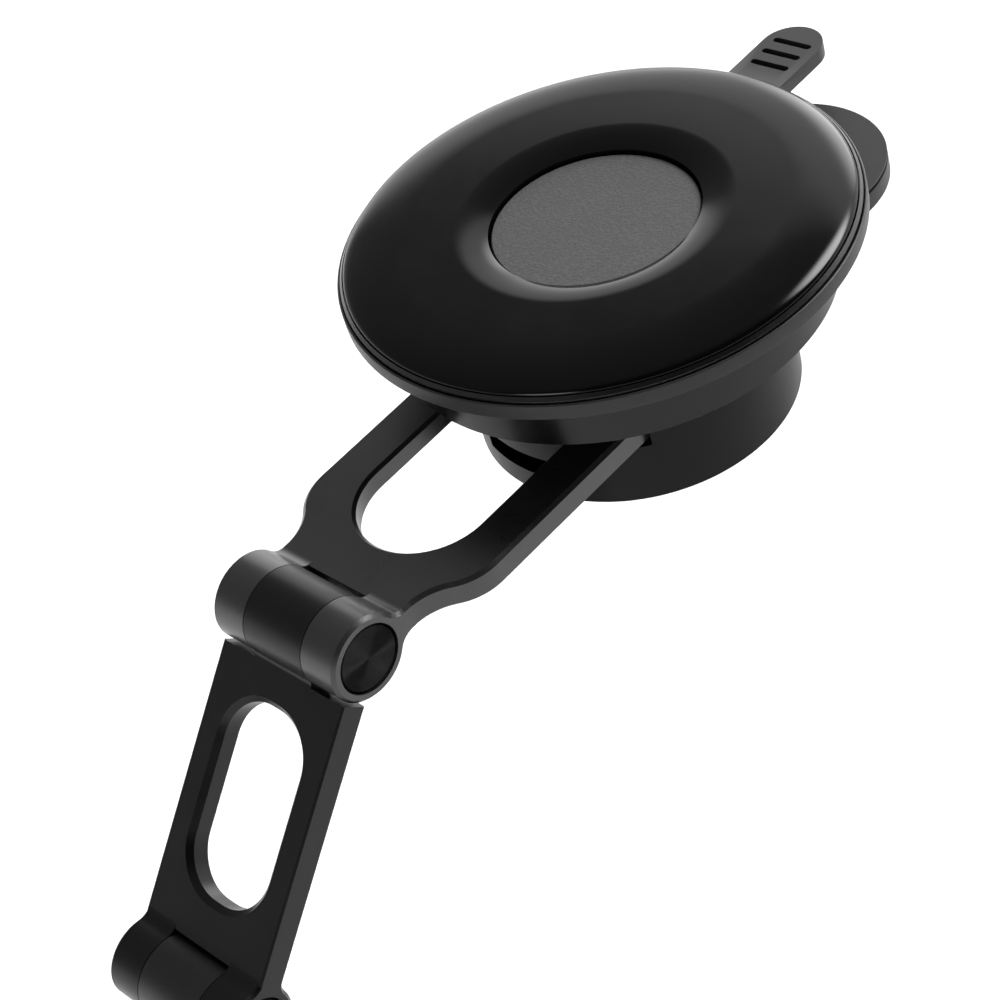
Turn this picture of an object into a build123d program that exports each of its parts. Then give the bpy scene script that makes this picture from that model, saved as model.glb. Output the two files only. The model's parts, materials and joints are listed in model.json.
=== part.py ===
"""Car phone mount: twist-lock suction base, swivelling turret, fork arm, slotted link arm and magnetic head.

Millimetres. Origin at the centre of the suction face, +Z out of that face, the arms towards -X and the hinge
axes along Y.
"""
import os
from math import asin, cos, degrees, radians, sin

from build123d import *

# --- fits and clearances ---------------------------------------------------------------------------------
RUN = 0.05          # radial running clearance of a pin, shaft or screw in its hole
GAP = 0.30          # gap between faces of different moving bodies
KNUCKLE_GAP = 0.15  # side gap between neighbouring hinge knuckles
SEAT = 0.05         # small gap between pieces of one body that sit in each other

# --- suction pad -----------------------------------------------------------------------------------------
PAD_R = 36.9            # gel pad outer radius, at its widest
PAD_HOLE_R = 15.4       # gel pad inner radius
PAD_T = 3.1             # gel thickness on its flat land
PAD_FLAT_R = 28.0       # the flat land ends here and the outer shoulder begins
PAD_FLAT_IN_R = 20.5    # the flat land starts here
PAD_EDGE_DROP = 2.2     # height lost from the land to the outer edge
PAD_IN_DROP = 1.1       # height lost from the land to the hole
LIP_R = 37.5            # pad carrier outer radius
LIP_Z = -2.2            # top of the carrier's lip, at its inner edge
LIP_FALL = 0.5          # the lip's top slopes down by this to its outer edge
LIP_GAP = 0.2           # gap between the gel's widest line and the lip
CARRIER_T = 1.2         # carrier floor

# --- suction cup ring and peel tab -----------------------------------------------------------------------
CUP_R = 38.0
CUP_TOP_Z = -3.05
CUP_BOTTOM_Z = -5.34
TAB_W = 9.75
TAB_REACH = 52.2        # tip of the tab from the axis
TAB_TOP_Z = -3.15
TAB_T = 2.3
TAB_ANGLE = 3.4
GROOVE_COUNT = 3
GROOVE_PITCH = 2.94
GROOVE_FIRST = 41.9     # first groove from the axis
GROOVE_L = 6.75
GROOVE_W = 1.1
GROOVE_D = 1.2

# --- housing ---------------------------------------------------------------------------------------------
HOUSING_R = 32.7
HOUSING_WALL = 2.0
HOUSING_BOTTOM_Z = -14.9
HOUSING_FLOOR_T = 2.0
HOUSING_SHOULDER = 0.9  # inner shoulder the core plate clamps
HOUSING_STEP_R = 21.0   # stepped floor over which the swivel ring runs
HOUSING_STEP_T = 1.0

# --- core plate, which carries the rod and the lever -----------------------------------------------------
CORE_T = 1.8
TUB_WALL = 1.2          # tub the centre plate drops into
TUB_FLOOR_Z = -7.5
TUB_FLOOR_T = 1.1
BOSS_R = 6.4            # central tube the lever turns on
BOSS_BOTTOM_Z = -14.6
SPRING_SEAT_R = 5.2
SPRING_SEAT_Z = -8.5
CARRIER_SCREW_COUNT = 6
CARRIER_SCREW_R = 1.0
CARRIER_SCREW_HEAD_R = 1.8
CARRIER_SCREW_HEAD_T = 1.2
CARRIER_SCREW_BITE = 0.7

# --- centre plate and plunger ----------------------------------------------------------------------------
CENTRE_TOP_Z = -1.7
CENTRE_T = 2.3
PLUNGER_STROKE = 2.0
ROD_R = 3.2             # pull rod, slides in the core's tube
ROD_BOTTOM_Z = -12.1
ROD_HEAD_R = 7.5
ROD_HEAD_T = 1.0
CROSS_PIN_R = 1.0
CROSS_PIN_L = 18.0
CROSS_PIN_Z = -10.2
SEAL_H = 0.8
SEAL_W = 1.2
SPRING_WIRE_R = 0.22
SPRING_R = 4.3
SPRING_TURNS = 2.0

# --- twist lever and cam ---------------------------------------------------------------------------------
LEVER_TOP_Z = -8.8
LEVER_T = 3.3
LEVER_ANGLE = -18.3
LEVER_TONGUE_R = 15.27
LEVER_TONGUE_AT = 30.0  # centre of the round tongue from the axis
LEVER_HUB_WALL = 1.5    # hub wall outside the cam's keys
LEVER_TRAVEL = 40.0     # degrees
LEVER_EDGE = 0.05
LEVER_GROOVE_DOWN = 0.12    # shadow groove round the tongue, this far under its top
LEVER_GROOVE_H = 0.6
LEVER_GROOVE_D = 0.9
CAM_R = 10.8
CAM_BOTTOM_Z = -13.4
CAM_STEPS = 12          # each ramp is cut in short level steps
CAM_WALL = 1.3          # wall left outside the ramps
CAM_KEY_W = 2.4         # keys that lock the cam in the lever hub
CLIP_R = 8.0
CLIP_T = 0.6
CLIP_DEPTH = 0.8
CLIP_SPLIT = 2.0

# --- swivel ring and turret ------------------------------------------------------------------------------
NECK_R = 18.0
NECK_WALL = 4.0
SWIVEL_RING_T = 0.8
SWIVEL_SCREW_COUNT = 4
SWIVEL_SCREW_R = 0.8
SWIVEL_SCREW_HEAD_R = 1.4
SWIVEL_SCREW_HEAD_T = 0.45
SWIVEL_SCREW_BITE = 2.6
TURRET_R = 24.2
TURRET_BOTTOM_Z = -33.8
TURRET_WALL = 2.0
TURRET_ROOF_T = 2.2
COVER_T = 1.2
COVER_RECESS = 1.0      # cover sits this far inside the turret
NOTCH_HALF_W = 8.2      # opening in the wall between the prongs
NOTCH_TOP_Z = -26.6
NOTCH_BOTTOM_Z = -30.0
PRONG_SLOT_SIDE = 0.8
COVER_SCREW_AT = ((15.4, 10.8), (15.4, -10.8), (-8.0, 6.0), (-8.0, -6.0))
COVER_SCREW_R = 1.0
COVER_SCREW_HEAD_R = 1.9
COVER_SCREW_HEAD_T = 0.6
COVER_SCREW_L = 5.0
COVER_POST_R = 2.2

# --- arms and hinges -------------------------------------------------------------------------------------
HINGE_A = (-66.5, -24.0)    # X and Z of the first hinge axis
ARM_1_SLOPE = 2.4           # degrees below horizontal, running away from the turret
ARM_2_SLOPE = 47.2
ARM_2_LENGTH = 54.5         # hinge to hinge
HEAD_SLOPE = 80.0
PLATE_T = 4.3
PLATE_RISE = 0.15           # plate mid-plane above the hinge line
BARREL_R = 6.5
BARREL_HALF = 12.33
MIDDLE_HALF = 5.75
PLATE_GAP = 0.35            # a plate starts this far outside the barrel of its hinge
BLEND_R = 2.5               # fillet between a plate and its outer knuckles
MIDDLE_BLEND_R = 0.8        # fillet between a plate and its middle knuckle
BARREL_EDGE = 0.5
FORK_HALF_W = 17.7
FORK_EDGE = 0.55
FORK_SHOULDER_SET = 1.15    # straight run before the shoulders
FORK_SHOULDER_L = 12.5
FORK_END = 74.0
FORK_SLOT_HALF_W = 10.45
FORK_WEB = 7.7              # web between the plate's start and the slot
FORK_SLOT_EDGE_TOP = 0.5
FORK_SLOT_EDGE_BOTTOM = 1.2
FORK_SCREW_S = (58.5, 67.5)
FORK_SCREW_R = 1.1
FORK_SCREW_HEAD_R = 2.1
FORK_SCREW_HEAD_T = 1.3
FORK_SCREW_BITE = 2.0
LINK_EDGE = 0.3
LINK_SLOT_HALF_W = 7.8
LINK_WEB_NEAR = 5.2         # webs left at the slot's two ends
LINK_WEB_FAR = 6.65
LINK_SLOT_CORNER_R = 7.0
LINK_SLOT_EDGE = 0.85
PIN_R = 2.0
BUSHING_T = 0.8
CAP_R = 5.03
CAP_T = 1.0
CAP_INSET = 0.15
CAP_EDGE = 0.3
CAP_GROOVE = 0.15       # fine ring gap round each cap

# --- magnetic head ---------------------------------------------------------------------------------------
HEAD_R = 28.5
HEAD_NECK = 5.0         # neck between the hinge barrel and the head's edge
HEAD_T = 8.2
HEAD_WALL = 1.6
HEAD_BACK_T = 1.8
YOKE_T = 1.0
MAGNET_COUNT = 18
MAGNET_R_IN = 20.8
MAGNET_R_OUT = 25.0
MAGNET_T = 2.6
MAGNET_ARC = 16.0
FACE_PAD_T = 1.4
HEAD_SCREW_COUNT = 4
HEAD_SCREW_PCR = 14.0
HEAD_SCREW_R = 1.0
HEAD_SCREW_HEAD_R = 1.9
HEAD_SCREW_HEAD_T = 1.0
HEAD_POST_R = 2.0

# --- sizes that follow from those above ------------------------------------------------------------------
CUP_POCKET_Z = -(PAD_T + CARRIER_T)             # underside of the pad carrier
LIP_IN_R = PAD_R + LIP_GAP
CENTRE_R = PAD_HOLE_R - GAP
CUP_HOLE_R = PAD_HOLE_R + 0.1
HOUSING_TOP_Z = CUP_BOTTOM_Z
HOUSING_FLOOR_Z = HOUSING_BOTTOM_Z + HOUSING_FLOOR_T
TURRET_TOP_Z = HOUSING_BOTTOM_Z - GAP
TURRET_ROOF_Z = TURRET_TOP_Z - TURRET_ROOF_T
HOUSING_IN_R = HOUSING_R - HOUSING_WALL
RING_Z = HOUSING_BOTTOM_Z + HOUSING_STEP_T + GAP    # underside of the swivel ring
RING_R = HOUSING_STEP_R - GAP
CORE_BOTTOM_Z = HOUSING_TOP_Z - CORE_T
CAM_IN_R = BOSS_R + RUN
CLIP_Z = CAM_BOTTOM_Z - GAP / 2 - CLIP_T
COVER_Z = TURRET_BOTTOM_Z + COVER_RECESS            # underside of the turret cover
CARRIER_SCREW_PCR = HOUSING_IN_R - HOUSING_SHOULDER - CARRIER_SCREW_HEAD_R - 0.4
LEVER_HUB_R = CAM_R + CAM_KEY_W / 2 + LEVER_HUB_WALL
NECK_BORE_R = NECK_R - NECK_WALL
PLATE_START = BARREL_R + PLATE_GAP              # where a plate starts, from its hinge axis
FORK_SHOULDER_NEAR = PLATE_START + FORK_SHOULDER_SET
FORK_SHOULDER_FAR = FORK_SHOULDER_NEAR + FORK_SHOULDER_L
FORK_SLOT_APEX = PLATE_START + FORK_WEB
LINK_SLOT_FROM = PLATE_START + LINK_WEB_NEAR
LINK_SLOT_TO = ARM_2_LENGTH - PLATE_START - LINK_WEB_FAR
HEAD_CENTRE = HEAD_R + BARREL_R + HEAD_NECK     # from the second hinge axis


def tube(r_out, r_in, z0, z1):
    """Ring of rectangular section about the Z axis."""
    ring = Circle(r_out) - Circle(r_in) if r_in > 0 else Circle(r_out)
    return Pos(0, 0, z0) * extrude(ring, z1 - z0)


def disc(r, z0, z1):
    """Plain round disc about the Z axis."""
    return tube(r, 0, z0, z1)


def around(count, radius, start=0.0):
    """Centres of a ring of holes, as (x, y)."""
    turns = [radians(start + 360.0 * i / count) for i in range(count)]
    return [(radius * cos(a), radius * sin(a)) for a in turns]


def rods(points, r, z0, z1):
    """Equal cylinders standing at the given points."""
    return [Pos(x, y, z0) * extrude(Circle(r), z1 - z0) for x, y in points]


def group(solids, label):
    """Several separate solids as one node."""
    return Compound(label=label, children=list(solids))


def slope_plane(x, z, degrees_down):
    """Plane with X along an arm running down towards -X and Z out of its upper face."""
    a = radians(degrees_down)
    return Plane(origin=(x, 0, z), x_dir=(-cos(a), 0, -sin(a)), z_dir=(-sin(a), 0, cos(a)))


def fork_plane():
    """Plane of the fork arm with X from the hinge back to the turret."""
    a = radians(ARM_1_SLOPE)
    x, z = HINGE_A
    return Plane(origin=(x, 0, z), x_dir=(cos(a), 0, sin(a)), z_dir=(-sin(a), 0, cos(a)))


def link_plane():
    """Plane of the link arm, from the first hinge."""
    x, z = HINGE_A
    return slope_plane(x, z, ARM_2_SLOPE)


def hinge_b():
    """X and Z of the second hinge axis."""
    a = radians(ARM_2_SLOPE)
    x, z = HINGE_A
    return x - ARM_2_LENGTH * cos(a), z - ARM_2_LENGTH * sin(a)


def head_plane():
    """Plane of the head, from the second hinge."""
    x, z = hinge_b()
    return slope_plane(x, z, HEAD_SLOPE)


# --- hinge pieces, in a local frame with the axis along Y ------------------------------------------------
def knuckle_profile(reach, blend):
    """Side outline of a barrel with a plate leaving it along +X, as a face in the XZ plane."""
    half = PLATE_T / 2
    plate = Pos(reach / 2, PLATE_RISE) * Rectangle(reach, PLATE_T)
    outline = Circle(BARREL_R) + plate
    corners = [v for v in outline.vertices() if 0.5 * BARREL_R < v.X < BARREL_R and abs(v.Y) < half + 1]
    return fillet(corners, blend)


def knuckle(y0, y1, reach, edge_at, blend):
    """Knuckle between two Y values, its edges broken at the Y values listed in edge_at."""
    face = Plane.XZ.offset(-y1) * knuckle_profile(reach, blend)
    block = extrude(face, y1 - y0)
    for y in edge_at:
        ends = [f for f in block.faces() if abs(f.center().Y - y) < 1e-3 and abs(f.normal_at().Y) > 0.99]
        block = chamfer(ends[0].outer_wire().edges(), BARREL_EDGE)
    return block


def y_rod(r, y0, y1, x=0.0, z=0.0):
    """Cylinder along Y."""
    return Pos(x, y1, z) * (Plane.XZ * extrude(Circle(r), y1 - y0))


def outer_knuckles(reach):
    """The two outer knuckles of a hinge, bored for the pin and recessed for the caps."""
    inner = MIDDLE_HALF + KNUCKLE_GAP
    left = knuckle(inner, BARREL_HALF, reach, [BARREL_HALF], BLEND_R)
    right = knuckle(-BARREL_HALF, -inner, reach, [-BARREL_HALF], BLEND_R)
    pair = left + right
    pair -= y_rod(PIN_R + SEAT, -BARREL_HALF, BARREL_HALF)
    recess = CAP_T + CAP_INSET + SEAT
    pair -= y_rod(CAP_R + CAP_GROOVE, BARREL_HALF - recess, BARREL_HALF + 1)
    pair -= y_rod(CAP_R + CAP_GROOVE, -BARREL_HALF - 1, -BARREL_HALF + recess)
    return pair


def middle_knuckle(reach):
    """The middle knuckle of a hinge, bored for its bushing."""
    block = knuckle(-MIDDLE_HALF, MIDDLE_HALF, reach, [], MIDDLE_BLEND_R)
    return block - y_rod(PIN_R + RUN + BUSHING_T + SEAT, -MIDDLE_HALF - 1, MIDDLE_HALF + 1)


def hinge_pin():
    """Hinge pin, between the two caps."""
    end = BARREL_HALF - CAP_T - CAP_INSET - 2 * SEAT
    pin = y_rod(PIN_R, -end, end)
    return chamfer(pin.edges().filter_by(GeomType.CIRCLE), 0.25)


def hinge_bushing():
    """Friction bushing pressed in the middle knuckle."""
    outer = y_rod(PIN_R + RUN + BUSHING_T, -MIDDLE_HALF, MIDDLE_HALF)
    return outer - y_rod(PIN_R + RUN, -MIDDLE_HALF - 1, MIDDLE_HALF + 1)


def hinge_caps():
    """Two turned caps that close the barrel's ends."""
    caps = []
    for side in (-1, 1):
        face = side * (BARREL_HALF - CAP_INSET)
        back = face - side * CAP_T
        cap = y_rod(CAP_R, min(face, back), max(face, back))
        rim = [e for e in cap.edges().filter_by(GeomType.CIRCLE) if abs(e.center().Y - face) < 1e-3]
        caps.append(chamfer(rim, CAP_EDGE))
    return caps


# --- suction base ----------------------------------------------------------------------------------------
def gel_pad():
    """Soft ring with a flat land, a rounded outer shoulder and a land that dips towards the hole."""
    bottom = -PAD_T
    with BuildPart() as pad:
        with BuildSketch(Plane.XZ):
            with BuildLine():
                Line((PAD_HOLE_R, bottom), (PAD_R, bottom))
                Line((PAD_R, bottom), (PAD_R, -PAD_EDGE_DROP))
                EllipticalCenterArc((PAD_FLAT_R, -PAD_EDGE_DROP), PAD_R - PAD_FLAT_R, PAD_EDGE_DROP, 0,
                                    arc_size=90)
                Line((PAD_FLAT_R, 0), (PAD_FLAT_IN_R, 0))
                TangentArc((PAD_FLAT_IN_R, 0), (PAD_HOLE_R, -PAD_IN_DROP), tangent=(-1, 0))
                Line((PAD_HOLE_R, -PAD_IN_DROP), (PAD_HOLE_R, bottom))
            make_face()
        revolve(axis=Axis.Z)
    return pad.part


def pad_carrier():
    """Rigid tray under the gel, with a thin lip round it whose top slopes outwards."""
    section = Polygon((PAD_HOLE_R, CUP_POCKET_Z), (LIP_R, CUP_POCKET_Z), (LIP_R, LIP_Z - LIP_FALL),
                      (LIP_IN_R, LIP_Z), (LIP_IN_R, -PAD_T), (PAD_HOLE_R, -PAD_T), align=None)
    body = revolve(Plane.XZ * section, Axis.Z)
    for x, y in around(CARRIER_SCREW_COUNT, CARRIER_SCREW_PCR):
        body -= Pos(x, y, CUP_POCKET_Z) * extrude(Circle(CARRIER_SCREW_R + RUN), CARRIER_SCREW_BITE)
    return body


def core_plate():
    """Rigid plate that clamps the housing, with a tub, and the tube that guides the rod and carries the lever."""
    tub_r = PAD_HOLE_R + GAP
    plate = tube(HOUSING_IN_R - SEAT, tub_r, CORE_BOTTOM_Z, HOUSING_TOP_Z)
    wall = tube(tub_r + TUB_WALL, tub_r, TUB_FLOOR_Z - TUB_FLOOR_T, HOUSING_TOP_Z)
    floor = disc(tub_r + TUB_WALL, TUB_FLOOR_Z - TUB_FLOOR_T, TUB_FLOOR_Z)
    post = disc(BOSS_R, BOSS_BOTTOM_Z, TUB_FLOOR_Z)
    body = plate + wall + floor + post
    body -= disc(ROD_R + RUN, BOSS_BOTTOM_Z - 1, TUB_FLOOR_Z + 1)
    body -= disc(SPRING_SEAT_R, SPRING_SEAT_Z, TUB_FLOOR_Z + 1)
    slot_top = CROSS_PIN_Z + CROSS_PIN_R + GAP / 2
    slot_bottom = CROSS_PIN_Z - PLUNGER_STROKE - CROSS_PIN_R - GAP / 2
    slot = Box(2 * (CROSS_PIN_R + RUN), 3 * BOSS_R, slot_top - slot_bottom)
    body -= Pos(0, 0, (slot_top + slot_bottom) / 2) * slot
    body -= tube(BOSS_R + 1, BOSS_R - CLIP_DEPTH, CLIP_Z - SEAT / 2, CLIP_Z + CLIP_T + SEAT / 2)
    for x, y in around(CARRIER_SCREW_COUNT, CARRIER_SCREW_PCR):
        body -= Pos(x, y, CORE_BOTTOM_Z - 1) * extrude(Circle(CARRIER_SCREW_R + RUN), CORE_T + 2)
    return body


def peel_tab():
    """Tongue of the suction cup, with a round end and cross grooves."""
    half = TAB_W / 2
    straight_to = TAB_REACH - half
    start = CUP_R - 3.0
    face = Pos((start + straight_to) / 2, 0) * Rectangle(straight_to - start, TAB_W)
    face += Pos(straight_to, 0) * Circle(half)
    tab = Pos(0, 0, TAB_TOP_Z - TAB_T) * extrude(face, TAB_T)
    for i in range(GROOVE_COUNT):
        cut = Pos(GROOVE_FIRST + i * GROOVE_PITCH, 0, TAB_TOP_Z - GROOVE_D)
        tab -= cut * extrude(SlotOverall(GROOVE_L, GROOVE_W, rotation=90), GROOVE_D + 1)
    return Rot(0, 0, TAB_ANGLE) * tab


def suction_cup():
    """Flexible ring round the carrier, with the peel tab."""
    floor = tube(CUP_R, CUP_HOLE_R, CUP_BOTTOM_Z, CUP_POCKET_Z)
    rim = tube(CUP_R, LIP_R + SEAT, CUP_BOTTOM_Z, CUP_TOP_Z)
    body = floor + rim
    top = [e for e in body.edges().filter_by(GeomType.CIRCLE) if abs(e.center().Z - CUP_TOP_Z) < 1e-3]
    body = chamfer(top, 0.15)
    tab = peel_tab() - disc(CUP_R - 0.2, CUP_BOTTOM_Z - 5, 5)
    body = body + tab
    for x, y in around(CARRIER_SCREW_COUNT, CARRIER_SCREW_PCR):
        body -= Pos(x, y, CUP_BOTTOM_Z - 1) * extrude(Circle(CARRIER_SCREW_R + RUN), 3)
    return body


def lever_window(extra):
    """Sweep of the lever tongue through the housing wall over its whole travel."""
    steps = 9
    swept = None
    for i in range(steps):
        angle = LEVER_ANGLE + LEVER_TRAVEL * i / (steps - 1)
        tongue = Rot(0, 0, angle) * Pos(LEVER_TONGUE_AT, 0, 0) * Circle(LEVER_TONGUE_R + extra)
        swept = tongue if swept is None else swept + tongue
    z0 = LEVER_TOP_Z - LEVER_T - extra
    return Pos(0, 0, z0) * extrude(swept, LEVER_T + 2 * extra)


def housing():
    """Band that holds the lever, with a stepped floor the turret hangs from."""
    wall = tube(HOUSING_R, HOUSING_IN_R, HOUSING_BOTTOM_Z, HOUSING_TOP_Z)
    floor = tube(HOUSING_R, HOUSING_STEP_R, HOUSING_BOTTOM_Z, HOUSING_FLOOR_Z)
    step = tube(HOUSING_R, NECK_R + RUN, HOUSING_BOTTOM_Z, HOUSING_BOTTOM_Z + HOUSING_STEP_T)
    shoulder = tube(HOUSING_R, HOUSING_IN_R - HOUSING_SHOULDER, CORE_BOTTOM_Z - 1.0, CORE_BOTTOM_Z)
    body = wall + floor + step + shoulder
    body -= lever_window(GAP)
    low = [e for e in body.edges().filter_by(GeomType.CIRCLE)
           if abs(e.center().Z - HOUSING_BOTTOM_Z) < 1e-3 and e.radius > HOUSING_R - 0.1]
    return chamfer(low, 0.25)


def carrier_screws():
    """Screws up through the core plate and the cup into the carrier."""
    z0 = CORE_BOTTOM_Z
    z1 = CUP_POCKET_Z + CARRIER_SCREW_BITE - SEAT
    screws = []
    for x, y in around(CARRIER_SCREW_COUNT, CARRIER_SCREW_PCR):
        shank = Pos(x, y, z0) * extrude(Circle(CARRIER_SCREW_R), z1 - z0)
        head = Pos(x, y, z0 - CARRIER_SCREW_HEAD_T) * extrude(Circle(CARRIER_SCREW_HEAD_R), CARRIER_SCREW_HEAD_T)
        socket = Pos(x, y, z0 - CARRIER_SCREW_HEAD_T) * extrude(RegularPolygon(0.9, 6), 0.6)
        screws.append(shank + head - socket)
    return screws


def hub_clip():
    """Split clip that keeps the lever hub on the tube."""
    clip = tube(CLIP_R, BOSS_R - CLIP_DEPTH + SEAT, CLIP_Z, CLIP_Z + CLIP_T)
    return clip - Pos(CLIP_R, 0, CLIP_Z) * Box(2 * CLIP_R, CLIP_SPLIT, 4)


# --- plunger ---------------------------------------------------------------------------------------------
def centre_plate():
    """Matte disc in the pad's hole, with a groove for its seal."""
    z0 = CENTRE_TOP_Z - CENTRE_T
    plate = disc(CENTRE_R, z0, CENTRE_TOP_Z)
    plate = chamfer(plate.edges().filter_by(GeomType.CIRCLE).sort_by(Axis.Z)[-1], 0.15)
    mid = (z0 + CENTRE_TOP_Z) / 2
    plate -= tube(CENTRE_R + 1, CENTRE_R - SEAL_W - SEAT, mid - SEAL_H / 2 - SEAT, mid + SEAL_H / 2 + SEAT)
    return plate


def wiper_seal():
    """Ring in the centre plate's groove."""
    mid = CENTRE_TOP_Z - CENTRE_T / 2
    ring = tube(CENTRE_R + 0.05, CENTRE_R - SEAL_W, mid - SEAL_H / 2, mid + SEAL_H / 2)
    return ring


def pull_rod():
    """Rod with a wide head fixed under the centre plate and a cross hole."""
    top = CENTRE_TOP_Z - CENTRE_T
    rod = disc(ROD_R, ROD_BOTTOM_Z, top) + disc(ROD_HEAD_R, top - ROD_HEAD_T, top)
    return rod - y_rod(CROSS_PIN_R + RUN, -20, 20, 0, CROSS_PIN_Z)


def cross_pin():
    """Pin through the rod that rides the cam."""
    pin = y_rod(CROSS_PIN_R, -CROSS_PIN_L / 2, CROSS_PIN_L / 2, 0, CROSS_PIN_Z)
    return chamfer(pin.edges().filter_by(GeomType.CIRCLE), 0.2)


def return_spring():
    """Short coil that lifts the plunger when the lever is open."""
    top = CENTRE_TOP_Z - CENTRE_T - ROD_HEAD_T
    z0 = SPRING_SEAT_Z + SPRING_WIRE_R + SEAT
    height = top - SPRING_SEAT_Z - 2 * (SPRING_WIRE_R + SEAT)
    path = Pos(0, 0, z0) * Helix(height / SPRING_TURNS, height, SPRING_R)
    section = Plane(origin=path @ 0, z_dir=path % 0) * Circle(SPRING_WIRE_R)
    return sweep(section, path=path)


# --- lever -----------------------------------------------------------------------------------------------
def lever():
    """Flat lever: a hub round the cam and a broad round tongue with a fine groove round its edge."""
    tongue = Pos(LEVER_TONGUE_AT, 0) * Circle(LEVER_TONGUE_R)
    arm = Pos(LEVER_TONGUE_AT / 2, 0) * Rectangle(LEVER_TONGUE_AT, 2 * LEVER_HUB_R - 2)
    face = tongue + arm + Circle(LEVER_HUB_R)
    plate = extrude(face, LEVER_T)
    top = plate.faces().sort_by(Axis.Z)[-1]
    plate = chamfer(top.outer_wire().edges(), LEVER_EDGE)
    groove_z = LEVER_T - LEVER_GROOVE_DOWN - LEVER_GROOVE_H
    groove = tongue - Pos(LEVER_TONGUE_AT, 0) * Circle(LEVER_TONGUE_R - LEVER_GROOVE_D)
    groove -= Circle(HOUSING_R + 3 * GAP)
    plate -= Pos(0, 0, groove_z) * extrude(groove, LEVER_GROOVE_H)
    plate -= extrude(Circle(CAM_R + SEAT), LEVER_T)
    plate -= extrude(Rectangle(2 * CAM_R + CAM_KEY_W, CAM_KEY_W + 2 * SEAT), LEVER_T)
    return Pos(0, 0, LEVER_TOP_Z - LEVER_T) * Rot(0, 0, LEVER_ANGLE) * plate


def sector(r_out, angle_0, angle_1, z0, z1):
    """Wedge of a disc between two angles in degrees."""
    a, b = radians(angle_0), radians(angle_1)
    reach = 1.2 * r_out
    tri = Polygon((0, 0), (reach * cos(a), reach * sin(a)), (reach * cos(b), reach * sin(b)), align=None)
    return Pos(0, 0, z0) * extrude(tri & Circle(r_out), z1 - z0)


def cam_ring():
    """Cam keyed in the lever hub: two stepped ramps push the cross pin down as the lever turns."""
    ring = tube(CAM_R, CAM_IN_R, CAM_BOTTOM_Z, LEVER_TOP_Z)
    key_z = LEVER_TOP_Z - LEVER_T / 2
    keys = Rot(0, 0, LEVER_ANGLE) * Box(2 * CAM_R + CAM_KEY_W - 2 * SEAT, CAM_KEY_W, LEVER_T)
    ring += Pos(0, 0, key_z) * keys - disc(CAM_R - 0.5, -50, 10)
    r_cut = CAM_R - CAM_WALL
    half_pin = degrees(asin((CROSS_PIN_R + RUN) / CAM_IN_R))
    ceiling = CROSS_PIN_Z + CROSS_PIN_R + RUN
    for side in (90.0, 270.0):
        ring -= sector(r_cut, side - half_pin - 1, side + half_pin + 1, CAM_BOTTOM_Z - 1, ceiling)
        for i in range(CAM_STEPS):
            turn = LEVER_TRAVEL * (i + 1) / CAM_STEPS
            level = ceiling - PLUNGER_STROKE * i / CAM_STEPS
            far = side - turn - half_pin - 1
            ring -= sector(r_cut, far, side, CAM_BOTTOM_Z - 1, level)
    return ring


# --- turret ----------------------------------------------------------------------------------------------
def fork_space(extra_side, extra_top, extra_bottom, start, end):
    """Straight envelope of the two prongs between two distances from the hinge, in the row's frame."""
    depth = PLATE_T + extra_top + extra_bottom
    mid = PLATE_RISE + (extra_top - extra_bottom) / 2
    inner = FORK_SLOT_HALF_W - extra_side
    outer = FORK_HALF_W + extra_side
    bars = []
    for side in (-1, 1):
        bar = Pos((start + end) / 2, side * (inner + outer) / 2, mid) * Box(end - start, outer - inner, depth)
        bars.append(fork_plane() * bar)
    return bars[0] + bars[1]


def fork_bosses():
    """Posts under the turret's roof that the prongs are screwed to, as (post, bore) solids."""
    y = (FORK_SLOT_HALF_W + FORK_HALF_W) / 2
    top = PLATE_RISE + PLATE_T / 2
    posts = None
    bores = None
    for s in FORK_SCREW_S:
        for side in (-1, 1):
            post = fork_plane() * (Pos(s, side * y, top) * extrude(Circle(FORK_SCREW_HEAD_R + 0.5), 6))
            bore = fork_plane() * (Pos(s, side * y, top - 1) * extrude(Circle(FORK_SCREW_R + RUN),
                                                                      1 + FORK_SCREW_BITE))
            posts = post if posts is None else posts + post
            bores = bore if bores is None else bores + bore
    inside = disc(TURRET_R - TURRET_WALL + 0.1, TURRET_BOTTOM_Z, TURRET_ROOF_Z + 0.1)
    return posts & inside, bores


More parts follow.
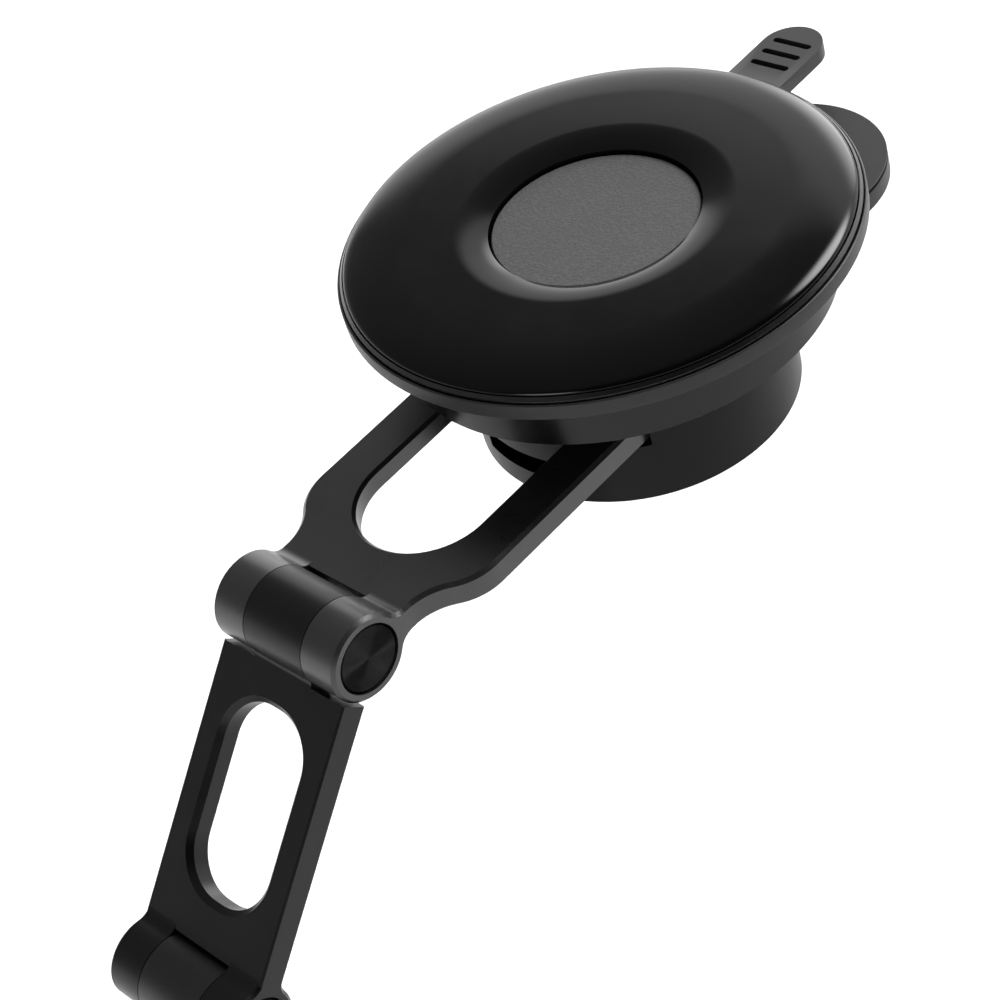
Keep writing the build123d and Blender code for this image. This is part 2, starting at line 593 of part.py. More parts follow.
def turret_shell():
    """Hollow cylinder with the swivel neck, slots for the prongs and an opening in its wall between them."""
    inner_r = TURRET_R - TURRET_WALL
    body = disc(TURRET_R, TURRET_BOTTOM_Z, TURRET_TOP_Z) - disc(inner_r, TURRET_BOTTOM_Z - 1, TURRET_ROOF_Z)
    edge = [e for e in body.edges().filter_by(GeomType.CIRCLE)
            if abs(e.center().Z - TURRET_BOTTOM_Z) < 1e-3 and e.radius > TURRET_R - 0.1]
    body = chamfer(edge, 0.25)
    body += tube(NECK_R, NECK_BORE_R, TURRET_TOP_Z - 0.5, RING_Z)
    posts, bores = fork_bosses()
    body += posts
    for post in rods(COVER_SCREW_AT, COVER_POST_R, COVER_Z + COVER_T + SEAT, TURRET_ROOF_Z + 0.1):
        body += post
    body -= disc(NECK_BORE_R, TURRET_TOP_Z - 1.2, TURRET_TOP_Z + 5)
    body -= fork_space(PRONG_SLOT_SIDE, 0.6, 0.1, FORK_SLOT_APEX + 10, -HINGE_A[0])
    body -= bores
    notch = Box(4 * TURRET_WALL, 2 * NOTCH_HALF_W, NOTCH_TOP_Z - NOTCH_BOTTOM_Z)
    body -= Pos(-TURRET_R, 0, (NOTCH_TOP_Z + NOTCH_BOTTOM_Z) / 2) * notch
    for hole in rods(COVER_SCREW_AT, COVER_SCREW_R + RUN, COVER_Z, COVER_Z + COVER_SCREW_L + GAP):
        body -= hole
    for x, y in around(SWIVEL_SCREW_COUNT, (NECK_R + NECK_BORE_R) / 2):
        body -= Pos(x, y, RING_Z - SWIVEL_SCREW_BITE) * extrude(Circle(SWIVEL_SCREW_R + RUN), 5)
    return body


def turret_cover():
    """Round cover, set in a little."""
    inner_r = TURRET_R - TURRET_WALL - SEAT
    top = COVER_Z + COVER_T
    cover = disc(inner_r, COVER_Z, top)
    for hole in rods(COVER_SCREW_AT, COVER_SCREW_R + RUN, COVER_Z - 1, top + 1):
        cover -= hole
    for hole in rods(COVER_SCREW_AT, COVER_SCREW_HEAD_R + SEAT, COVER_Z - 1, COVER_Z + COVER_SCREW_HEAD_T):
        cover -= hole
    return cover


def cover_screws():
    """Screws through the cover, heads sunk flush."""
    screws = []
    for x, y in COVER_SCREW_AT:
        head = Pos(x, y, COVER_Z) * extrude(Circle(COVER_SCREW_HEAD_R), COVER_SCREW_HEAD_T)
        shank = Pos(x, y, COVER_Z + 0.1) * extrude(Circle(COVER_SCREW_R), COVER_SCREW_L)
        socket = Pos(x, y, COVER_Z) * extrude(RegularPolygon(0.9, 6), 0.4)
        screws.append(head + shank - socket)
    return screws


def swivel_ring():
    """Ring over the housing's step that keeps the turret on."""
    ring = tube(RING_R, NECK_BORE_R, RING_Z, RING_Z + SWIVEL_RING_T)
    for x, y in around(SWIVEL_SCREW_COUNT, (NECK_R + NECK_BORE_R) / 2):
        ring -= Pos(x, y, RING_Z - 1) * extrude(Circle(SWIVEL_SCREW_R + RUN), 3)
    return ring


def swivel_screws():
    """Low-headed screws through the swivel ring into the neck."""
    z1 = RING_Z + SWIVEL_RING_T
    screws = []
    for x, y in around(SWIVEL_SCREW_COUNT, (NECK_R + NECK_BORE_R) / 2):
        head = Pos(x, y, z1) * extrude(Circle(SWIVEL_SCREW_HEAD_R), SWIVEL_SCREW_HEAD_T)
        low = RING_Z - SWIVEL_SCREW_BITE + SEAT
        shank = Pos(x, y, low) * extrude(Circle(SWIVEL_SCREW_R), z1 - low)
        screws.append(head + shank)
    return screws


# --- arms ------------------------------------------------------------------------------------------------
def plate_solid(face):
    """Arm plate from its outline, set at the plate's height over the hinge line."""
    return Pos(0, 0, PLATE_RISE - PLATE_T / 2) * extrude(face, PLATE_T)


def rim_edges(body, top, inside):
    """Edges of a plate's upper or lower face that lie inside or outside its slot."""
    face = body.faces().sort_by(Axis.Z)[-1 if top else 0]
    return [e for e in face.edges() if inside(e.center())]


def fork_outline():
    """Fork with stepped-in shoulders near the hinge and a round-ended slot open at the turret."""
    x0, x1 = FORK_SHOULDER_NEAR, FORK_SHOULDER_FAR
    mid = ((x0 + x1) / 2, (BARREL_HALF + FORK_HALF_W) / 2)
    lines = [
        Line((PLATE_START, 0), (PLATE_START, BARREL_HALF)),
        Line((PLATE_START, BARREL_HALF), (x0, BARREL_HALF)),
        TangentArc((x0, BARREL_HALF), mid, tangent=(1, 0)),
        TangentArc((x1, FORK_HALF_W), mid, tangent=(-1, 0)),
        Line((x1, FORK_HALF_W), (FORK_END, FORK_HALF_W)),
        Line((FORK_END, FORK_HALF_W), (FORK_END, 0)),
        Line((FORK_END, 0), (PLATE_START, 0)),
    ]
    half = make_face(Wire(lines))
    slot_x = FORK_SLOT_APEX + FORK_SLOT_HALF_W
    slot = Pos(slot_x, 0) * Circle(FORK_SLOT_HALF_W)
    slot += Pos((slot_x + FORK_END + 1) / 2, 0) * Rectangle(FORK_END + 1 - slot_x, 2 * FORK_SLOT_HALF_W)
    return half + mirror(half, Plane.XZ) - slot


def fork_arm():
    """Fork arm: two outer knuckles, a web and two prongs fixed in the turret."""
    plate = plate_solid(fork_outline())

    def in_slot(c):
        return c.X > PLATE_START + 1 and abs(c.Y) < FORK_SLOT_HALF_W + 0.05 and c.X < FORK_END - 0.1

    def outside(c):
        return c.X > PLATE_START + 0.1 and abs(c.Y) > BARREL_HALF - 1 and c.X < FORK_END - 0.1

    plate = chamfer(rim_edges(plate, True, in_slot), FORK_SLOT_EDGE_TOP)
    plate = chamfer(rim_edges(plate, False, in_slot), FORK_SLOT_EDGE_BOTTOM)
    plate = chamfer(rim_edges(plate, True, outside), FORK_EDGE)
    plate = chamfer(rim_edges(plate, False, outside), FORK_EDGE)
    y = (FORK_SLOT_HALF_W + FORK_HALF_W) / 2
    for s in FORK_SCREW_S:
        for side in (-1, 1):
            plate -= Pos(s, side * y, -PLATE_T) * extrude(Circle(FORK_SCREW_R + RUN), 2 * PLATE_T)
    reach = FORK_SHOULDER_NEAR + 3.0
    return fork_plane() * (plate + outer_knuckles(reach))


def fork_screws():
    """Screws from below through the prongs into the turret's bosses."""
    y = (FORK_SLOT_HALF_W + FORK_HALF_W) / 2
    low = PLATE_RISE - PLATE_T / 2
    high = PLATE_RISE + PLATE_T / 2 + FORK_SCREW_BITE - SEAT
    screws = []
    for s in FORK_SCREW_S:
        for side in (-1, 1):
            shank = Pos(s, side * y, low) * extrude(Circle(FORK_SCREW_R), high - low)
            head = Pos(s, side * y, low - FORK_SCREW_HEAD_T) * extrude(Circle(FORK_SCREW_HEAD_R),
                                                                      FORK_SCREW_HEAD_T)
            socket = Pos(s, side * y, low - FORK_SCREW_HEAD_T) * extrude(RegularPolygon(1.0, 6), 0.8)
            screws.append(fork_plane() * (shank + head - socket))
    return screws


def link_arm():
    """Link arm: a middle knuckle, a slotted plate and two outer knuckles."""
    start, end = PLATE_START, ARM_2_LENGTH - PLATE_START
    face = Pos((start + end) / 2, 0) * Rectangle(end - start, 2 * BARREL_HALF)
    slot_l = LINK_SLOT_TO - LINK_SLOT_FROM
    slot = RectangleRounded(slot_l, 2 * LINK_SLOT_HALF_W, LINK_SLOT_CORNER_R)
    face -= Pos((LINK_SLOT_FROM + LINK_SLOT_TO) / 2, 0) * slot
    plate = plate_solid(face)

    def in_slot(c):
        return start + 1 < c.X < end - 1 and abs(c.Y) < LINK_SLOT_HALF_W + 0.05

    def outside(c):
        return start + 1 < c.X < end - 1 and abs(c.Y) > BARREL_HALF - 0.1

    for top in (True, False):
        plate = chamfer(rim_edges(plate, top, in_slot), LINK_SLOT_EDGE)
        plate = chamfer(rim_edges(plate, top, outside), LINK_EDGE)
    far = Pos(ARM_2_LENGTH, 0, 0) * Rot(0, 0, 180) * outer_knuckles(PLATE_START + 3.5)
    return link_plane() * (plate + middle_knuckle(PLATE_START + 3.0) + far)


# --- head ------------------------------------------------------------------------------------------------
HEAD_BACK = PLATE_RISE - PLATE_T / 2
HEAD_FACE = HEAD_BACK + HEAD_T
HEAD_IN_R = HEAD_R - HEAD_WALL
YOKE_Z = HEAD_BACK + HEAD_BACK_T
MAGNET_Z = YOKE_Z + YOKE_T + SEAT
HEAD_PLATE_Z = MAGNET_Z + MAGNET_T + SEAT
FACE_PAD_Z = HEAD_FACE - FACE_PAD_T


def head_frame():
    """Round back shell with a neck and the middle knuckle of the second hinge."""
    shell = Pos(HEAD_CENTRE, 0, 0) * disc(HEAD_R, HEAD_BACK, HEAD_FACE)
    rims = shell.edges().filter_by(GeomType.CIRCLE)
    shell = chamfer(rims, 0.6)
    shell -= Pos(HEAD_CENTRE, 0, 0) * disc(HEAD_IN_R, YOKE_Z, HEAD_FACE + 1)
    neck_end = HEAD_CENTRE - HEAD_IN_R + 6.0
    neck = Pos((PLATE_START + neck_end) / 2, 0) * Rectangle(neck_end - PLATE_START, 2 * BARREL_HALF)
    neck = plate_solid(neck)
    side = [e for f in (neck.faces().sort_by(Axis.Z)[-1], neck.faces().sort_by(Axis.Z)[0]) for e in f.edges()
            if abs(e.center().Y) > BARREL_HALF - 0.1]
    neck = chamfer(side, LINK_EDGE)
    neck -= Pos(HEAD_CENTRE, 0, 0) * disc(HEAD_R - 0.8, HEAD_BACK - 1, HEAD_FACE + 1)
    body = shell + neck + middle_knuckle(PLATE_START + 3.0)
    for x, y in around(HEAD_SCREW_COUNT, HEAD_SCREW_PCR, 45.0):
        hole = Pos(HEAD_CENTRE + x, y, HEAD_BACK - 1)
        body -= hole * extrude(Circle(HEAD_SCREW_R + RUN), HEAD_BACK_T + 2)
        body -= hole * extrude(Circle(HEAD_SCREW_HEAD_R + SEAT), 1 + HEAD_SCREW_HEAD_T)
    return head_plane() * body


def in_head(solid):
    """Place a piece drawn about the head's own axis."""
    return head_plane() * (Pos(HEAD_CENTRE, 0, 0) * solid)


def yoke_plate():
    """Steel ring plate behind the magnets."""
    plate = disc(HEAD_IN_R - SEAT, YOKE_Z, YOKE_Z + YOKE_T)
    for x, y in around(HEAD_SCREW_COUNT, HEAD_SCREW_PCR, 45.0):
        plate -= Pos(x, y, YOKE_Z - 1) * extrude(Circle(HEAD_POST_R + SEAT), YOKE_T + 2)
    return in_head(plate)


def magnets():
    """Ring of separate arc magnets."""
    solids = []
    ring = tube(MAGNET_R_OUT, MAGNET_R_IN, MAGNET_Z, MAGNET_Z + MAGNET_T)
    wedge = sector(MAGNET_R_OUT + 1, -MAGNET_ARC / 2, MAGNET_ARC / 2, MAGNET_Z, MAGNET_Z + MAGNET_T)
    one = ring & wedge
    for i in range(MAGNET_COUNT):
        solids.append(in_head(Rot(0, 0, 360.0 * i / MAGNET_COUNT) * one))
    return solids


def head_plate():
    """Rigid plate over the magnets, with posts for the screws from behind."""
    plate = disc(HEAD_IN_R - SEAT, HEAD_PLATE_Z, FACE_PAD_Z)
    for x, y in around(HEAD_SCREW_COUNT, HEAD_SCREW_PCR, 45.0):
        plate += Pos(x, y, YOKE_Z + SEAT) * extrude(Circle(HEAD_POST_R), HEAD_PLATE_Z - YOKE_Z)
        plate -= Pos(x, y, YOKE_Z) * extrude(Circle(HEAD_SCREW_R + RUN), HEAD_PLATE_Z - YOKE_Z)
    return in_head(plate)


def face_pad():
    """Soft disc the phone rests on."""
    pad = disc(HEAD_IN_R - SEAT, FACE_PAD_Z, HEAD_FACE)
    return in_head(chamfer(pad.edges().filter_by(GeomType.CIRCLE).sort_by(Axis.Z)[-1], 0.3))


def head_screws():
    """Screws from the back of the head."""
    screws = []
    for x, y in around(HEAD_SCREW_COUNT, HEAD_SCREW_PCR, 45.0):
        head = Pos(x, y, HEAD_BACK + SEAT) * extrude(Circle(HEAD_SCREW_HEAD_R), HEAD_SCREW_HEAD_T - SEAT)
        shank = Pos(x, y, HEAD_BACK + SEAT) * extrude(Circle(HEAD_SCREW_R), HEAD_PLATE_Z - HEAD_BACK - 2 * SEAT)
        socket = Pos(x, y, HEAD_BACK + SEAT) * extrude(RegularPolygon(0.9, 6), 0.6)
        screws.append(in_head(head + shank - socket))
    return screws


def second_hinge(solid):
    """Place a hinge piece at the second hinge."""
    x, z = hinge_b()
    return Plane(origin=(x, 0, z), x_dir=(1, 0, 0), z_dir=(0, 0, 1)) * solid


def first_hinge(solid):
    """Place a hinge piece at the first hinge."""
    x, z = HINGE_A
    return Plane(origin=(x, 0, z), x_dir=(1, 0, 0), z_dir=(0, 0, 1)) * solid


def main():
    """Build every node and write it."""
    os.makedirs("parts", exist_ok=True)
    nodes = {
        "gel_pad": gel_pad(),
        "pad_carrier": pad_carrier(),
        "suction_cup": suction_cup(),
        "core_plate": core_plate(),
        "housing": housing(),
        "carrier_screws": group(carrier_screws(), "carrier_screws"),
        "hub_clip": hub_clip(),
        "centre_plate": centre_plate(),
        "wiper_seal": wiper_seal(),
        "pull_rod": pull_rod(),
        "cross_pin": cross_pin(),
        "return_spring": return_spring(),
        "lever": lever(),
        "cam_ring": cam_ring(),
        "turret_shell": turret_shell(),
        "turret_cover": turret_cover(),
        "cover_screws": group(cover_screws(), "cover_screws"),
        "swivel_ring": swivel_ring(),
        "swivel_screws": group(swivel_screws(), "swivel_screws"),
        "fork_arm": fork_arm(),
        "fork_screws": group(fork_screws(), "fork_screws"),
        "hinge_a_pin": first_hinge(hinge_pin()),
        "hinge_a_bushing": first_hinge(hinge_bushing()),
        "hinge_a_caps": group([first_hinge(cap) for cap in hinge_caps()], "hinge_a_caps"),
        "link_arm": link_arm(),
        "hinge_b_pin": second_hinge(hinge_pin()),
        "hinge_b_bushing": second_hinge(hinge_bushing()),
        "hinge_b_caps": group([second_hinge(cap) for cap in hinge_caps()], "hinge_b_caps"),
        "head_frame": head_frame(),
        "yoke_plate": yoke_plate(),
        "magnets": group(magnets(), "magnets"),
        "head_plate": head_plate(),
        "face_pad": face_pad(),
        "head_screws": group(head_screws(), "head_screws"),
    }
    for name, solid in nodes.items():
        export_step(solid, f"parts/{name}.step")


if __name__ == "__main__":
    main()
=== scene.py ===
"""Looks of a car phone mount, built round its fixed frame.

The frame's nodes keep their shapes. Soft pieces and edges that need rounding are built here as pieces that stand
for a node, and every surface gets a procedural finish. Lengths in the dataclasses are in millimetres.
"""
from __future__ import annotations

import json
import logging
import math
from dataclasses import dataclass, field
from enum import Enum
from typing import Iterable, Sequence

import bmesh
import bpy
from mathutils import Matrix, Vector

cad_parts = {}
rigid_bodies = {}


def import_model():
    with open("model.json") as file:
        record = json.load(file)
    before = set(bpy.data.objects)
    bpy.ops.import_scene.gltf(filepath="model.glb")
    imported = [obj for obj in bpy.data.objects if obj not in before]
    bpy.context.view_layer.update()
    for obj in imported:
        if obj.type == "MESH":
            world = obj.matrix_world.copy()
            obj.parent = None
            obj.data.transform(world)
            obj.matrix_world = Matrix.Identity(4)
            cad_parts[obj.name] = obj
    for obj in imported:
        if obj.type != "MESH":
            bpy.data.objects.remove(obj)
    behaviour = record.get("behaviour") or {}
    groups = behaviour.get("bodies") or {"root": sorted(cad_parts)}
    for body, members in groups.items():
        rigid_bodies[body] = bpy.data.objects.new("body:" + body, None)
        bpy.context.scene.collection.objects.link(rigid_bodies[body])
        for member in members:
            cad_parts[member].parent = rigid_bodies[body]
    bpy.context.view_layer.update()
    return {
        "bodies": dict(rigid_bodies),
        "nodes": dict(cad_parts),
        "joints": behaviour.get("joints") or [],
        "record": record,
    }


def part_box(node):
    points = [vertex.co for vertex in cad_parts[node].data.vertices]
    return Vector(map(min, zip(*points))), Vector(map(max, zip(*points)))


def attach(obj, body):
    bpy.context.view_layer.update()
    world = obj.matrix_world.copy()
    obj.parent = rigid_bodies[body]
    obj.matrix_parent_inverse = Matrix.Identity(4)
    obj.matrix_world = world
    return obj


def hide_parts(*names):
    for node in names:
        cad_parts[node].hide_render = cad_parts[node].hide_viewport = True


MM = 0.001
LOG = logging.getLogger("phone_mount")
Colour = tuple[float, float, float]
Heading = tuple[float, float, float]

NOISE_LOW, NOISE_HIGH = 0.3, 0.7    # most of a noise socket's values lie between these
TURNED_WELD = 1e-6                  # points of a turned piece closer than this are one, in metres
NODE_WELD = 2e-6                    # the same for a copied node
FLAT_ANGLE = 0.4                    # facets that meet at less than this many degrees become one face
EDGE_ANGLE = 28.0                   # edges that turn by more than this many degrees are rounded
EDGE_SEGMENTS = 2                   # facets across a rounded edge


class Direction(Enum):
    """Axis that a turned or brushed finish runs round or along. The value is the axis's index."""

    Y = 1
    Z = 2


class Graph:
    """Small builder for one material's node tree."""

    def __init__(self, name: str) -> None:
        """Start an empty tree with a Principled shader wired to the output.

        Args:
            name: Name of the material.
        """
        self.material = bpy.data.materials.new(name)
        self.material.use_nodes = True
        self.tree = self.material.node_tree
        self.tree.nodes.clear()
        self.output = self.tree.nodes.new("ShaderNodeOutputMaterial")
        self.shader = self.tree.nodes.new("ShaderNodeBsdfPrincipled")
        self.link(self.shader.outputs["BSDF"], self.output.inputs["Surface"])
        self.place = self.tree.nodes.new("ShaderNodeTexCoord").outputs["Object"]

    def link(self, source: bpy.types.NodeSocket, target: bpy.types.NodeSocket) -> None:
        """Join two sockets."""
        self.tree.links.new(source, target)

    def constant(self, socket: str, value: float | Sequence[float]) -> None:
        """Set a value that is the same all over the surface on the shader's own socket."""
        self.shader.inputs[socket].default_value = value

    def centred(self, centre: Vector, turn: Sequence[float] = (0.0, 0.0, 0.0),
                stretch: Sequence[float] = (1.0, 1.0, 1.0)) -> bpy.types.NodeSocket:
        """Object coordinates moved, turned and stretched.

        Args:
            centre: Point that becomes the pattern's centre, in metres.
            turn: Euler angles in radians.
            stretch: Scale along each axis.

        Returns:
            The mapped vector socket.
        """
        node = self.tree.nodes.new("ShaderNodeMapping")
        node.vector_type = "TEXTURE"
        node.inputs["Location"].default_value = centre
        node.inputs["Rotation"].default_value = turn
        node.inputs["Scale"].default_value = stretch
        self.link(self.place, node.inputs["Vector"])
        return node.outputs["Vector"]

    def noise(self, size_mm: float, detail: float = 2.0, rough: float = 0.5,
              vector: bpy.types.NodeSocket | None = None) -> bpy.types.NodeSocket:
        """Soft noise with features of about the given size.

        Args:
            size_mm: Feature size in millimetres.
            detail: Number of finer octaves.
            rough: Strength of the finer octaves.
            vector: Coordinates to read, or None for the object's own.

        Returns:
            The factor socket.
        """
        node = self.tree.nodes.new("ShaderNodeTexNoise")
        node.inputs["Scale"].default_value = 1.0 / (size_mm * MM)
        node.inputs["Detail"].default_value = detail
        node.inputs["Roughness"].default_value = rough
        self.link(vector or self.place, node.inputs["Vector"])
        return node.outputs["Fac"]

    def cells(self, size_mm: float, smooth: float) -> bpy.types.NodeSocket:
        """Pebbled cells.

        Args:
            size_mm: Size of a cell in millimetres.
            smooth: How far the cells run into each other, 0 to 1.

        Returns:
            The distance socket.
        """
        node = self.tree.nodes.new("ShaderNodeTexVoronoi")
        node.feature = "SMOOTH_F1"
        node.inputs["Scale"].default_value = 1.0 / (size_mm * MM)
        node.inputs["Smoothness"].default_value = smooth
        self.link(self.place, node.inputs["Vector"])
        return node.outputs["Distance"]

    def vector_math(self, operation: str, *values: bpy.types.NodeSocket | Sequence[float]) -> bpy.types.Node:
        """One vector node.

        Args:
            operation: Name of the operation.
            *values: A socket or a fixed vector for each input.

        Returns:
            The node.
        """
        node = self.tree.nodes.new("ShaderNodeVectorMath")
        node.operation = operation
        for socket, value in zip(node.inputs, values):
            if isinstance(value, bpy.types.NodeSocket):
                self.link(value, socket)
            else:
                socket.default_value = value
        return node

    def from_centre(self, centre: Vector) -> bpy.types.NodeSocket:
        """Object coordinates measured from a point, in metres."""
        return self.vector_math("SUBTRACT", self.place, centre).outputs[0]

    def rings(self, centre: Vector, about: Direction, pitch_mm: float) -> bpy.types.NodeSocket:
        """Fine rings round an axis through a point.

        Args:
            centre: Point on the axis, in metres.
            about: Axis the rings run round.
            pitch_mm: Distance between rings.

        Returns:
            A socket that goes up and down between -1 and 1.
        """
        keep = [1.0, 1.0, 1.0]
        keep[about.value] = 0.0
        flat = self.vector_math("MULTIPLY", self.from_centre(centre), keep)
        radius = self.vector_math("LENGTH", flat.outputs[0])
        turns = self.math("MULTIPLY", radius.outputs["Value"], 2 * math.pi / (pitch_mm * MM))
        return self.math("SINE", turns)

    def round_tangent(self, centre: Vector, about: Direction) -> bpy.types.NodeSocket:
        """Direction of the turning marks at each point round an axis.

        Args:
            centre: Point on the axis, in metres.
            about: Axis the marks run round.

        Returns:
            The tangent vector socket.
        """
        axis = [0.0, 0.0, 0.0]
        axis[about.value] = 1.0
        cross = self.vector_math("CROSS_PRODUCT", axis, self.from_centre(centre))
        return self.vector_math("NORMALIZE", cross.outputs[0]).outputs[0]

    def math(self, operation: str, a: bpy.types.NodeSocket | float,
             b: bpy.types.NodeSocket | float = 0.0) -> bpy.types.NodeSocket:
        """One arithmetic node.

        Args:
            operation: Name of the operation.
            a: First value.
            b: Second value, where the operation has one.

        Returns:
            The value socket.
        """
        node = self.tree.nodes.new("ShaderNodeMath")
        node.operation = operation
        for socket, value in zip(node.inputs, (a, b)):
            if isinstance(value, (int, float)):
                socket.default_value = value
            else:
                self.link(value, socket)
        return node.outputs[0]

    def spread(self, source: bpy.types.NodeSocket, low: float, high: float,
               to_low: float, to_high: float) -> bpy.types.NodeSocket:
        """Map a range of a socket's values to another range, clamped.

        Args:
            source: Socket to read.
            low: Value that becomes to_low.
            high: Value that becomes to_high.
            to_low: Start of the new range.
            to_high: End of the new range.

        Returns:
            The mapped socket.
        """
        node = self.tree.nodes.new("ShaderNodeMapRange")
        node.inputs["From Min"].default_value = low
        node.inputs["From Max"].default_value = high
        node.inputs["To Min"].default_value = to_low
        node.inputs["To Max"].default_value = to_high
        self.link(source, node.inputs["Value"])
        return node.outputs["Result"]

    def sway(self, source: bpy.types.NodeSocket, middle: float, either_way: float) -> bpy.types.NodeSocket:
        """Let a noise socket move a value a little up and down.

        Args:
            source: Noise to follow.
            middle: Value in the middle.
            either_way: Most that it moves up or down.

        Returns:
            The value socket.
        """
        return self.spread(source, NOISE_LOW, NOISE_HIGH, middle - either_way, middle + either_way)

    def mix(self, factor: bpy.types.NodeSocket, a: Colour, b: Colour) -> bpy.types.NodeSocket:
        """Blend two colours.

        Args:
            factor: 0 for the first colour, 1 for the second.
            a: First colour.
            b: Second colour.

        Returns:
            The colour socket.
        """
        node = self.tree.nodes.new("ShaderNodeMix")
        node.data_type = "RGBA"
        for socket, colour in zip(node.inputs[6:8], (a, b)):    # these two are the colours
            socket.default_value = (*colour, 1.0)
        self.link(factor, node.inputs["Factor"])
        return node.outputs[2]    # the colour

    def bump(self, height: bpy.types.NodeSocket, depth_mm: float) -> bpy.types.NodeSocket:
        """Relief of the given depth.

        Args:
            height: Socket that gives the height.
            depth_mm: Depth of the relief in millimetres.

        Returns:
            The normal socket.
        """
        node = self.tree.nodes.new("ShaderNodeBump")
        node.inputs["Strength"].default_value = 1.0
        node.inputs["Distance"].default_value = depth_mm * MM
        self.link(height, node.inputs["Height"])
        return node.outputs["Normal"]

    def finish(self, colour: bpy.types.NodeSocket, roughness: bpy.types.NodeSocket,
               normal: bpy.types.NodeSocket) -> bpy.types.Material:
        """Wire the three inputs that vary over the surface.

        Args:
            colour: Base colour.
            roughness: Roughness.
            normal: Relief.

        Returns:
            The finished material.
        """
        self.link(colour, self.shader.inputs["Base Color"])
        self.link(roughness, self.shader.inputs["Roughness"])
        self.link(normal, self.shader.inputs["Normal"])
        return self.material


def scaled(colour: Colour, factor: float) -> Colour:
    """A colour made lighter or darker.

    Args:
        colour: The colour.
        factor: What each channel is multiplied by.

    Returns:
        The new colour.
    """
    return tuple(channel * factor for channel in colour)


@dataclass(frozen=True)
class MouldedFinish:
    """Moulded or sprayed satin surface with a fine grain and slow changes of tone.

    Args:
        name: Material name.
        colour: Base colour.
        roughness: Mean roughness.
        specular: Specular level.
        grain_mm: Size of the fine grain.
        grain_depth_mm: Depth of the fine grain.
        tone: Share by which the colour varies.
        patch_mm: Size of the slow patches.
        sway: Most that the roughness moves up or down.
    """

    name: str
    colour: Colour
    roughness: float
    specular: float = 0.4
    grain_mm: float = 0.22
    grain_depth_mm: float = 0.02
    tone: float = 0.12
    patch_mm: float = 9.0
    sway: float = 0.035

    def make(self) -> bpy.types.Material:
        """Build the material."""
        graph = Graph(self.name)
        graph.constant("Specular IOR Level", self.specular)
        grain = graph.noise(self.grain_mm, 3.0, 0.6)
        patches = graph.noise(self.patch_mm, 3.0, 0.55)
        speck = graph.math("ADD", graph.math("MULTIPLY", grain, 0.5), graph.math("MULTIPLY", patches, 0.5))
        colour = graph.mix(graph.spread(speck, NOISE_LOW, NOISE_HIGH, 0.0, 1.0),
                           scaled(self.colour, 1 - self.tone), scaled(self.colour, 1 + self.tone))
        roughness = graph.sway(patches, self.roughness, self.sway)
        return graph.finish(colour, roughness, graph.bump(grain, self.grain_depth_mm))


@dataclass(frozen=True)
class GelFinish:
    """Clear-surfaced black gel with very slight unevenness and faint smears."""

    name: str = "gel_gloss_black"
    colour: Colour = (0.0012, 0.0012, 0.0013)
    roughness: float = 0.09
    specular: float = 0.15

    def make(self) -> bpy.types.Material:
        """Build the material."""
        graph = Graph(self.name)
        graph.constant("IOR", 1.5)
        graph.constant("Specular IOR Level", self.specular)
        waves = graph.noise(14.0, 1.0, 0.4)
        haze = graph.noise(5.0, 4.0, 0.6)
        smear = graph.noise(9.0, 3.0, 0.6, graph.centred(Vector(), (0.0, 0.0, 0.6), (2.6, 1.0, 1.0)))
        colour = graph.mix(haze, scaled(self.colour, 0.85), scaled(self.colour, 1.25))
        both = graph.math("ADD", graph.math("MULTIPLY", haze, 0.5), graph.math("MULTIPLY", smear, 0.5))
        roughness = graph.spread(both, 0.35, 0.7, self.roughness, self.roughness + 0.06)
        return graph.finish(colour, roughness, graph.bump(waves, 0.03))


@dataclass(frozen=True)
class PebbledFinish:
    """Matte face with a fine leather-like pebble."""

    name: str
    colour: Colour
    roughness: float = 0.62
    cell_mm: float = 0.42
    depth_mm: float = 0.05
    specular: float = 0.35
    sway: float = 0.04

    def make(self) -> bpy.types.Material:
        """Build the material."""
        graph = Graph(self.name)
        graph.constant("Specular IOR Level", self.specular)
        cells = graph.cells(self.cell_mm, 0.5)
        sand = graph.noise(0.16, 2.0, 0.6)
        relief = graph.math("ADD", graph.math("MULTIPLY", cells, 0.7), graph.math("MULTIPLY", sand, 0.5))
        colour = graph.mix(graph.spread(relief, 0.3, 0.8, 0.0, 1.0), scaled(self.colour, 0.85),
                           scaled(self.colour, 1.2))
        patches = graph.noise(7.0, 3.0, 0.5)
        roughness = graph.sway(patches, self.roughness, self.sway)
        return graph.finish(colour, roughness, graph.bump(relief, self.depth_mm))


@dataclass(frozen=True)
class TurnedFinish:
    """Lathe-turned metal face whose fine rings stretch reflections into fans round its own axis."""

    name: str
    colour: Colour
    centre: Vector
    about: Direction
    roughness: float = 0.5
    pitch_mm: float = 0.30
    depth_mm: float = 0.004
    metallic: float = 1.0
    specular: float = 0.5
    stretch: float = 1.0
    sway: float = 0.04

    def make(self) -> bpy.types.Material:
        """Build the material."""
        graph = Graph(self.name)
        graph.constant("Specular IOR Level", self.specular)
        graph.constant("Metallic", self.metallic)
        graph.constant("Anisotropic", self.stretch)
        graph.link(graph.round_tangent(self.centre, self.about), graph.shader.inputs["Tangent"])
        rings = graph.rings(self.centre, self.about, self.pitch_mm)
        fine = graph.rings(self.centre, self.about, self.pitch_mm / 3.3)
        both = graph.math("ADD", rings, graph.math("MULTIPLY", fine, 0.5))
        colour = graph.mix(graph.spread(both, -1.5, 1.5, 0.0, 1.0), scaled(self.colour, 0.8),
                           scaled(self.colour, 1.2))
        roughness = graph.sway(graph.noise(1.5, 3.0), self.roughness, self.sway)
        return graph.finish(colour, roughness, graph.bump(both, self.depth_mm))


